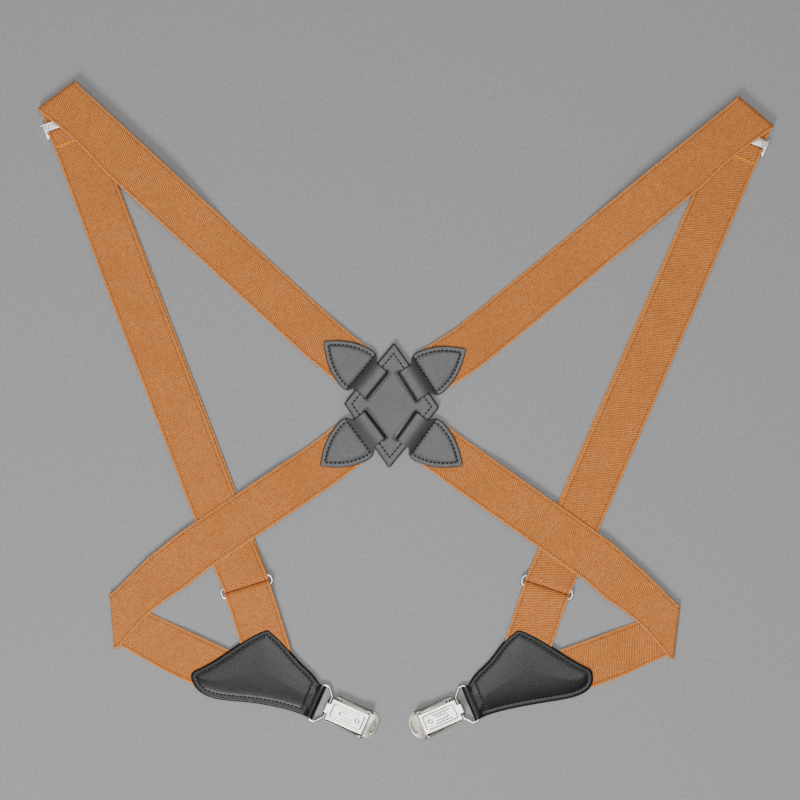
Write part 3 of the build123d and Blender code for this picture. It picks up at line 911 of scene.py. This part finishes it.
def inset_loop(loop, inset, spacing=0.0008):
    """Outline moved inwards, its points evenly spaced."""
    area = 0.5 * np.sum(loop[:, 0] * np.roll(loop[:, 1], -1) - np.roll(loop[:, 0], -1) * loop[:, 1])
    ring = loop if area > 0 else loop[::-1]
    closed = np.vstack([ring, ring[:1]])
    run = run_along(closed)
    s = np.linspace(0, run[-1], int(run[-1] / spacing), endpoint=False)
    even = np.column_stack([np.interp(s, run, closed[:, 0]), np.interp(s, run, closed[:, 1])])
    tangent = np.roll(even, -2, axis=0) - np.roll(even, 2, axis=0)
    tangent /= np.linalg.norm(tangent, axis=1)[:, None]
    moved = even + np.column_stack([-tangent[:, 1], tangent[:, 0]]) * inset
    deep, _ = inside_distance(moved, [ring])
    return moved[deep > inset * 0.96]


def rim_curve(depth, radius, height):
    share = np.clip(depth / radius, 0, 1)
    return height * np.sqrt(np.clip(1 - (1 - share) ** 2, 0, 1))


def back_patch():
    """Rhombus of two layers, seamed together near its four points."""
    seam_inset, long_row, short_row = 4.6 * MM, 17.0 * MM, 11.0 * MM
    top_round, low_round = 0.45 * MM, 0.35 * MM
    backing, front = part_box("back_patch_backing"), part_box("back_patch_front")
    loops = flat_loops("back_patch_front", front[1].z)
    outline = max(loops, key=lambda l: np.ptp(l[:, 1]))
    tips = [outline[np.argmax(sign * outline[:, axis])]
            for axis, sign in ((0, 1), (1, 1), (0, -1), (1, -1))]
    rows = []
    for i, tip in enumerate(tips):
        a, b = unit(tips[i - 1] - tip), unit(tips[(i + 1) % 4] - tip)
        half_angle = math.acos(np.clip(a @ b, -1, 1)) / 2
        apex = tip + unit(a + b) * (seam_inset / math.sin(half_angle))
        reach = long_row if half_angle < math.radians(45) else short_row
        rows.append(np.array([apex + a * reach, apex, apex + b * reach]))

    def top(flat, depth):
        edge, _ = inside_distance(flat, [outline])
        rounded = rim_curve(np.maximum(edge, 0), RIM_RADIUS, top_round)
        return front[1].z - top_round + np.where(edge > 3 * MM, top_round, rounded)

    def low_top(flat, depth):
        return front[0].z + CLEAR + 0 * depth

    def middle(flat, depth):
        return backing[1].z - CLEAR + 0 * depth

    def bottom(flat, depth):
        return backing[0].z + low_round - rim_curve(depth, RIM_RADIUS, low_round)

    def seam(points):
        return distance_to_lines(points, rows)

    upper = leather_plate("back_patch_front_looks", loops, 0.7 * MM, top, low_top, seam)
    lower = leather_plate("back_patch_backing_looks", loops, 1.0 * MM, middle, bottom, seam)
    settle(upper, "leather", "harness", "back_patch_front")
    settle(lower, "leather", "harness", "back_patch_backing")
    tree = tree_of(upper)
    for i, row in enumerate(rows):
        sew("back_patch_stitches_%d" % i, row, tree, "harness", 3.0, 2.1, 0.58)


def petal(name):
    """One strip of leather: top leaf, loop through the slot, bottom leaf."""
    node = "petal_" + name
    pivot, heading, _ = joint_frame("petal_swing_" + name)
    side = turn(heading, math.pi / 2)
    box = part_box(node)
    local = max(flat_loops(node, box[0].z), key=len) - pivot[:2]
    xs, ys = local @ heading[:2], local @ side[:2]

    def half_at(x):
        reach = [0.25 * MM]
        for i in range(len(xs)):
            x0, x1, y0, y1 = xs[i - 1], xs[i], ys[i - 1], ys[i]
            if (x0 - x) * (x1 - x) <= 0 and x0 != x1:
                reach.append(abs(y0 + (y1 - y0) * (x - x0) / (x1 - x0)))
        return max(reach)

    # side view: the upper leaf from its tip, round the loop, and the lower leaf back to the tip
    sheet, leaf_top, loop_top = 1.15 * MM, 3.9 * MM, box[1].z - 0.7 * MM
    outer, tip_x, tip_length = loop_top / 2, xs.max(), 3 * MM
    bend_x = outer - 7.3 * MM
    widest_bend = box[1].z / 2 - 7.0 * MM
    ramp_from, ramp_length = -1.0 * MM, 10.8 * MM
    round_tip = tip_length * np.sin(np.linspace(0.15, 1, 8) * math.pi / 2)
    stations = np.concatenate([np.linspace(bend_x, tip_x - tip_length, 64),
                               tip_x - tip_length + round_tip])
    halves = smooth([half_at(max(x, widest_bend)) for x in stations], 2)
    radius = outer - sheet / 2
    path, widths = [], []
    for x, half in zip(stations[::-1], halves[::-1]):
        reach = clamp((x - ramp_from) / ramp_length)
        rise = 1 - 0.25 * reach - 0.75 * reach * reach
        path.append((x, leaf_top + (loop_top - leaf_top) * rise - sheet / 2))
        widths.append(half)
    for i in range(1, 14):
        a = math.pi * i / 14
        path.append((bend_x - radius * math.sin(a), outer + radius * math.cos(a)))
        widths.append(halves[0])
    path += [(x, sheet / 2) for x in stations]
    widths += list(halves)
    last = len(path) - 1

    # seams: one along the edge of the upper leaf and one across its base
    base_x, seam_inset = 9.0 * MM, 3.4 * MM
    leaf = stations > base_x - 3 * MM
    leaf_outline = np.concatenate([np.column_stack([stations[leaf], halves[leaf]]),
                                   np.column_stack([stations[leaf], -halves[leaf]])[::-1]])
    arc = inset_loop(leaf_outline, seam_inset)
    arc = arc[arc[:, 0] > base_x]
    arc = arc[np.argsort(np.arctan2(arc[:, 1], arc[:, 0] - 2 * base_x))]
    base = np.array([(base_x, arc[0][1]), (base_x, arc[-1][1])])
    edge = np.vstack([base[:1], arc, base[1:]])
    ring = both_faces(np.sin(np.linspace(-1, 1, 37) * math.pi / 2))
    local_points = np.array([(path[i][0], widths[i] * v) for i in range(last + 1) for v, _ in ring])
    seam_distance = distance_to_lines(local_points, [edge, base])

    # the skin: rounded edges, and an upper leaf that swells between its seams
    edge_round, swell, swell_over = 1.2 * MM, 0.3 * MM, 3 * MM
    groove, groove_half = 0.1 * MM, 0.8 * MM
    points, rim_values, seam_values = [], [], []
    for i, (x, z) in enumerate(path):
        before, after = path[max(0, i - 1)], path[min(last, i + 1)]
        dx, dz = after[0] - before[0], after[1] - before[1]
        size = math.hypot(dx, dz)
        normal = heading * dz / size + np.array([0, 0, -dx / size])
        middle = pivot * (1, 1, 0) + heading * x + np.array([0, 0, z])
        upper_leaf = i < len(stations)
        for k, (v, face) in enumerate(ring):
            near = seam_distance[i * len(ring) + k]
            inset = min((1 - abs(v)) * widths[i], tip_x - x + 0.3 * MM)
            drop = 1 - math.sqrt(max(0.0, 1 - (1 - min(1.0, inset / edge_round)) ** 2))
            lift = sheet / 2 * (1 - 0.8 * drop)
            puff = 0.0
            if upper_leaf and x > base_x - 1 * MM:
                within = clamp((inset - seam_inset) / swell_over) * clamp((x - base_x) / swell_over)
                puff = swell * within - groove * math.exp(-(near / groove_half) ** 2)
            place = middle + side * widths[i] * v + normal * (face * lift)
            points.append(place + np.array([0, 0, puff]))
            rim_values.append(inset * 1000)
            seam_values.append(near * 1000 if upper_leaf else 9.0)
    obj = make_object("petal_looks_" + name, points, skin(last + 1, len(ring)), LEATHER,
                      values={"rim": rim_values, "seam": seam_values}, sharp=75)
    settle(obj, "leather", node, node)
    tree = tree_of(obj)
    for part, rows in (("edge", edge), ("base", base[0] + np.outer(np.linspace(0, 1, 30),
                                                                    base[1] - base[0]))):
        world = [pivot[:2] + heading[:2] * x + side[:2] * y for x, y in rows]
        sew("petal_stitches_%s_%s" % (part, name), world, tree, node, 3.1, 2.1, 0.62)


def clip_patch(tag):
    """Two leaves sewn over the strap ends, folded round the wire loop at the narrow end."""
    node = "clip_patch_" + tag
    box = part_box(node)
    outline = max(flat_loops(node, box[0].z), key=len)
    pivot, heading, _ = joint_frame("loop_swing_" + tag)
    pivot, heading = pivot[:2], heading[:2]
    side = turn(heading, math.pi / 2)[:2]
    fold_radius, fold_reach = 2.8 * MM, 2.75 * MM

    # the outline with its straight end moved out to the end of the fold
    ends = outline[np.abs((outline - pivot) @ heading) < 0.4 * MM]
    half = np.abs((ends - pivot) @ side).max()
    corners = [pivot + side * half, pivot - side * half]
    at = [int(np.argmin(np.linalg.norm(outline - corner, axis=1))) for corner in corners]
    ring = outline
    for here, there in ((0, 1), (1, 0)):
        if (at[here] + 1) % len(outline) == at[there]:
            extra = [corners[here] + heading * fold_reach, corners[there] + heading * fold_reach]
            ring = np.insert(outline, at[here] + 1, extra, axis=0)
    middle = box[1].z / 2

    def profile(flat, depth, body, swell):
        """Half thickness: a swollen leaf that runs into the round fold."""
        reach = (flat - pivot) @ heading
        share = np.clip(reach / fold_radius, 0, 1)
        round_end = np.sqrt(np.clip(1 - share ** 2, 0, 1)) * fold_radius
        pillow = 1 - np.exp(-np.clip(depth - 4.2 * MM, 0, None) / (6.5 * MM))
        rim_fall = rim_curve(depth, RIM_RADIUS, 0.75 * MM) - 0.75 * MM
        tunnel = ease(np.clip(1 - np.abs(reach + 0.2 * MM) / (5.2 * MM), 0, 1))
        tunnel = np.where(reach > 0, 1.0, tunnel)
        leaf = body + pillow * swell + rim_fall
        shape = leaf * (1 - tunnel) + (2.78 * MM + rim_fall * 0.4) * tunnel
        return np.where(reach > 0, np.minimum(shape, round_end), shape)

    def seam(points):
        return distance_to_lines(points, [edge, across])

    def top(flat, depth):
        pressed = 0.14 * MM * np.exp(-(seam(flat) / (0.8 * MM)) ** 2)
        return middle + profile(flat, depth, 1.75 * MM, 1.05 * MM) - pressed

    def bottom(flat, depth):
        return middle - profile(flat, depth, 2.3 * MM, 0.5 * MM)

    edge = inset_loop(ring, 3.9 * MM)
    edge = edge[(edge - pivot) @ heading < -7.6 * MM]
    steps = np.linalg.norm(np.diff(edge, axis=0), axis=1)
    cut = int(np.argmax(np.append(steps, 0)))
    if steps[cut] > 3 * MM:
        edge = np.roll(edge, -(cut + 1), axis=0)
    across = np.array([edge[-1], edge[0]])
    obj = leather_plate("clip_patch_looks_" + tag, [ring], 0.75 * MM, top, bottom, seam,
                        SHINY_SHADED_LEATHER)
    settle(obj, "leather", "harness", node)
    tree = tree_of(obj)
    row = [across[0] + (across[1] - across[0]) * t for t in np.linspace(0, 1, 30)]
    for name, line in (("clip_patch_stitches_", edge), ("clip_patch_cross_stitches_", row)):
        sew(name + tag, line, tree, "harness", 3.0, 2.2, 0.55)


# ------------------------------------------------------------------ metal
def eased_metal(node, body, material, width=0.18, slot="nickel"):
    """Metal piece with the shape of its CAD node, its edges eased as stamping leaves them."""
    flat_below, sharp_above = math.radians(0.8), math.radians(32)
    mesh = bpy.data.meshes.new(node + "_looks")
    work = bmesh.new()
    work.from_mesh(frame["nodes"][node].data)
    bmesh.ops.remove_doubles(work, verts=work.verts, dist=2e-6)
    bmesh.ops.dissolve_limit(work, angle_limit=flat_below, verts=work.verts,
                             edges=work.edges, use_dissolve_boundaries=False)
    sharp = [e for e in work.edges if len(e.link_faces) == 2
             and e.calc_face_angle(0) > sharp_above]
    bmesh.ops.bevel(work, geom=sharp, offset=width * MM, offset_type="OFFSET", segments=2,
                    profile=0.6, affect="EDGES", clamp_overlap=True)
    work.to_mesh(mesh)
    work.free()
    mesh.materials.clear()
    mesh.materials.append(material)
    for polygon in mesh.polygons:
        polygon.material_index = 0
    settle(finish_object(node + "_looks", mesh, 34), slot, body, node)


def rounded_path(corners, radii, count=10):
    """Closed line through corners, each rounded off by its radius."""
    path = []
    size = len(corners)
    for i in range(size):
        before, here, after = (np.array(corners[k % size], float) for k in (i - 1, i, i + 1))
        a, b = unit(before - here), unit(after - here)
        half_angle = math.acos(np.clip(a @ b, -1, 1)) / 2
        cut = radii[i] / math.tan(half_angle)
        centre = here + unit(a + b) * radii[i] / math.sin(half_angle)
        u, v = here + a * cut - centre, here + b * cut - centre
        total = math.acos(np.clip(unit(u) @ unit(v), -1, 1))
        for k in range(count + 1):
            t = k / count
            arc = math.sin((1 - t) * total) * u + math.sin(t * total) * v
            path.append(centre + arc / math.sin(total))
    dense = []
    for p, q in zip(path, path[1:] + path[:1]):
        steps = max(1, int(np.linalg.norm(q - p) / 0.0015))
        dense += [p + (q - p) * k / steps for k in range(steps)]
    return dense


def wire(node, body, corners, radius, origin, ahead, side):
    """Closed wire through corners, which are given ahead of and beside its origin."""
    path = [origin + ahead * x + side * y
            for x, y in rounded_path(corners, [radius] * len(corners))]
    vertices, faces, uv = tube(path, 1.0 * MM, closed=True, sides=16)
    head, tag = node.rsplit("_", 1)
    obj = make_object(head + "_looks_" + tag, vertices, faces, NICKEL, uv=uv)
    settle(obj, "nickel", body, node)


def oval_ring(tag):
    centre, line, down = ring_frame(tag)
    a, b = RING_PITCH, 19.7 * MM
    wire("oval_ring_" + tag, "ring_" + tag, [(a, b), (-a, b), (-a, -b), (a, -b)], 3.2 * MM,
         centre, down, line)


def wire_loop(tag):
    pivot, heading, _ = joint_frame("loop_swing_" + tag)
    shoulder, reach, wide, narrow = 4.5 * MM, 9.8 * MM, 14.3 * MM, 8.2 * MM
    half = [(0, wide), (shoulder, wide), (reach, narrow)]
    wire("wire_loop_" + tag, "loop_" + tag, half + [(x, -y) for x, y in reversed(half)], 1.6 * MM,
         pivot, heading, turn(heading, math.pi / 2))


def clip_lever(tag):
    """Face plate with a pressed rounded panel, pressed lines and a pressed dot, and its cam."""
    pin, _, axis = joint_frame("lever_flip_" + tag)
    ahead = turn(axis, -math.pi / 2)
    side = turn(ahead, math.pi / 2)
    top_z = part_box("clip_lever_" + tag)[1].z
    x_from, x_to, half = -29.4 * MM, 1.3 * MM, 8.1 * MM
    tab_from, tab_half = x_from - 3.0 * MM, 3.8 * MM
    sheet, edge_round, edge_width, bend_radius = 0.62 * MM, 0.45 * MM, 0.7 * MM, 1.6 * MM
    line_depth, line_half = 0.2 * MM, 0.26 * MM
    xs, ys = np.linspace(tab_from, x_to, 181), np.linspace(-half, half, 97)

    def plate_edge(x, y):
        main = min(x - x_from, x_to - x, half - abs(y))
        tab = min(x - tab_from, x_to - x, tab_half - abs(y))
        return max(main, tab)

    def line_distance(x, y):
        """Distance in millimetres to the nearest pressed line."""
        x, y = x / MM, abs(y) / MM
        panel = abs(math.hypot(max(abs(x + 14.2) - 10.6, 0), max(y - 3.6, 0)) - 1.8)
        inner = math.hypot(min(0.0, x + 19.0), max(0.0, x + 10.6), y - 1.5)
        bend = abs(math.hypot(x + 19.0, y) - 1.5) if x < -19.0 else 9.0
        outer = math.hypot(max(0.0, -23.0 - x, x + 9.5), y - 3.4)
        dot = abs(math.hypot(x + 6.2, y) - 1.5)
        return min(panel, inner, bend, outer, dot)

    upper, lower, pressed, index = [], [], [], {}
    for i, x in enumerate(xs):
        for j, y in enumerate(ys):
            if plate_edge(x, y) > -1e-7:
                index[(i, j)] = len(upper)
                edge = clamp(plate_edge(x, y) / edge_width)
                z = top_z - CLEAR - edge_round * (1 - math.sqrt(1 - (1 - edge) ** 2))
                z -= max(0.0, x - 0.2 * MM) ** 2 / (2 * bend_radius)
                line = math.exp(-(line_distance(x, y) * MM / line_half) ** 2)
                z -= line_depth * line
                place = pin * (1, 1, 0) + ahead * x + side * y
                pressed.append(line)
                upper.append((place[0], place[1], z))
                lower.append((place[0], place[1], z - sheet))
    count = len(upper)
    cells = []
    for i in range(len(xs) - 1):
        for j in range(len(ys) - 1):
            corners = [index.get(k) for k in ((i, j), (i + 1, j), (i + 1, j + 1), (i, j + 1))]
            if None not in corners:
                cells.append(corners)
    faces = []
    for corners in cells:
        faces += [tuple(corners), tuple(count + k for k in reversed(corners))]
    faces += [(b, a, count + a, count + b) for a, b in free_edges(cells)]

    # the cam: a rod along the pin, drawn out below it
    points = upper + lower
    start, ring, rod_radius, cam_reach = len(points), 28, 1.42 * MM, 2.45 * MM
    for y in (-8.0 * MM, 8.0 * MM):
        for k in range(ring):
            angle = 2 * math.pi * k / ring
            down = max(0.0, -math.sin(angle)) ** 6
            place = pin + ahead * math.cos(angle) * rod_radius * (1 - 0.15 * down) + side * y
            rise = math.sin(angle) * (rod_radius + cam_reach * down)
            points.append(tuple(place + np.array([0, 0, rise])))
    faces += [tuple(start + k for k in face) for face in skin(2, ring)]
    pressed += [0.0] * (len(points) - len(pressed))
    obj = make_object("clip_lever_looks_" + tag, points, faces, NICKEL,
                      values={"pressed": pressed}, sharp=50)
    settle(obj, "nickel", "lever_" + tag, "clip_lever_" + tag)


def adjuster_plate_face(tag, slide):
    """Pressed and brushed middle of the locking plate."""
    rise, rise_over, clear = 0.16 * MM, 0.5 * MM, 0.01 * MM
    square = turn(slide, math.pi / 2)
    pivot = np.array(joints["plate_lift_" + tag]["pos_m"], float)
    plate_top = pivot[2] + 0.4 * MM
    xs, ys = np.linspace(0.6, 5.0, 12) * MM, np.linspace(-15.8, 15.8, 60) * MM
    points = []
    for x in xs:
        for y in ys:
            place = pivot * (1, 1, 0) + slide * x + square * y
            edge = min(x - xs[0], xs[-1] - x, ys[-1] - abs(y))
            z = plate_top + rise * min(1.0, edge / rise_over) + clear
            points.append((place[0], place[1], z))
    columns = len(ys)
    faces = [(a, a + columns, a + columns + 1, a + 1) for i in range(len(xs) - 1)
             for a in range(i * columns, (i + 1) * columns - 1)]
    obj = make_object("adjuster_plate_panel_" + tag, points, faces, BRUSHED)
    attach(obj, "plate_" + tag)


# ------------------------------------------------------------------ build both sides
BAR_FROM_PLATE = 5.2 * MM  # middle of the adjuster, from the pivot of its plate
TAIL_FROM_BAR = 16.95 * MM  # end of the return run, from the middle of the adjuster

back_patch()
for name in ("ul", "ur", "ll", "lr"):
    petal(name)

for tag, front, back in (("l", "ul", "ll"), ("r", "ur", "lr")):
    slide, run_z, split_at, length = front_strap(tag, front)
    bar, top_z, side, length = lower_run(tag, run_z, split_at, length)
    pivot = np.array(joints["plate_lift_" + tag]["pos_m"], float)
    centre = (pivot + slide * BAR_FROM_PLATE) * (1, 1, 0)
    length = return_run(tag, bar, top_z, side, length, centre + slide * TAIL_FROM_BAR)
    webbing_tail(tag, centre, slide, length)
    back_strap(tag, back)
    oval_ring(tag)
    drop_strap(tag)
    clip_patch(tag)
    wire_loop(tag)
    clip_lever(tag)
    eased_metal("adjuster_frame_" + tag, "adjuster_" + tag, NICKEL)
    eased_metal("adjuster_plate_" + tag, "plate_" + tag, NICKEL, 0.1)
    adjuster_plate_face(tag, slide)
    for node in ("clip_base", "jaw_pin", "lever_pin"):
        eased_metal(node + "_" + tag, "clip_" + tag, SHADED_NICKEL, 0.15)
    eased_metal("jaw_spring_" + tag, "clip_" + tag, STEEL, 0.06, "spring_steel")
    eased_metal("base_grip_" + tag, "clip_" + tag, BRUSHED, 0.06)
    eased_metal("clip_jaw_" + tag, "jaw_" + tag, SHADED_NICKEL, 0.15)
    eased_metal("jaw_grip_" + tag, "jaw_" + tag, BRUSHED, 0.06)

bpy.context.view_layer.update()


# ------------------------------------------------------------------ floor and light
def room():
    n = Nodes("floor")
    grain = n.ramp(n.noise(n.place(), 420.0, 3.0), 0.3, 0.7)
    n.set(Base_Color=n.mix(grain, (0.31, 0.31, 0.315, 1), (0.35, 0.35, 0.355, 1)),
          Roughness=0.85)
    bpy.ops.mesh.primitive_plane_add(size=12.0, location=(0, 0, -0.0002))
    floor = bpy.context.object
    floor.name = "floor"
    floor.data.materials.append(n.material)
    for name, place, size, power in (
        ("key_light", (-0.45, -1.2, 1.4), 0.7, 22.0),
        ("top_light", (0.0, 0.05, 2.5), 1.5, 35.0),
    ):
        light = bpy.data.lights.new(name, "AREA")
        light.shape = "DISK"
        light.size = size
        light.energy = power
        lamp = bpy.data.objects.new(name, light)
        lamp.location = place
        lamp.rotation_mode = "QUATERNION"
        lamp.rotation_quaternion = (-Vector(place)).to_track_quat("-Z", "Y")
        bpy.context.scene.collection.objects.link(lamp)
    world = bpy.data.worlds.new("world")
    world.use_nodes = True
    background = world.node_tree.nodes["Background"]
    background.inputs[0].default_value = (0.9, 0.93, 1.0, 1)
    background.inputs[1].default_value = 0.2
    bpy.context.scene.world = world


room()
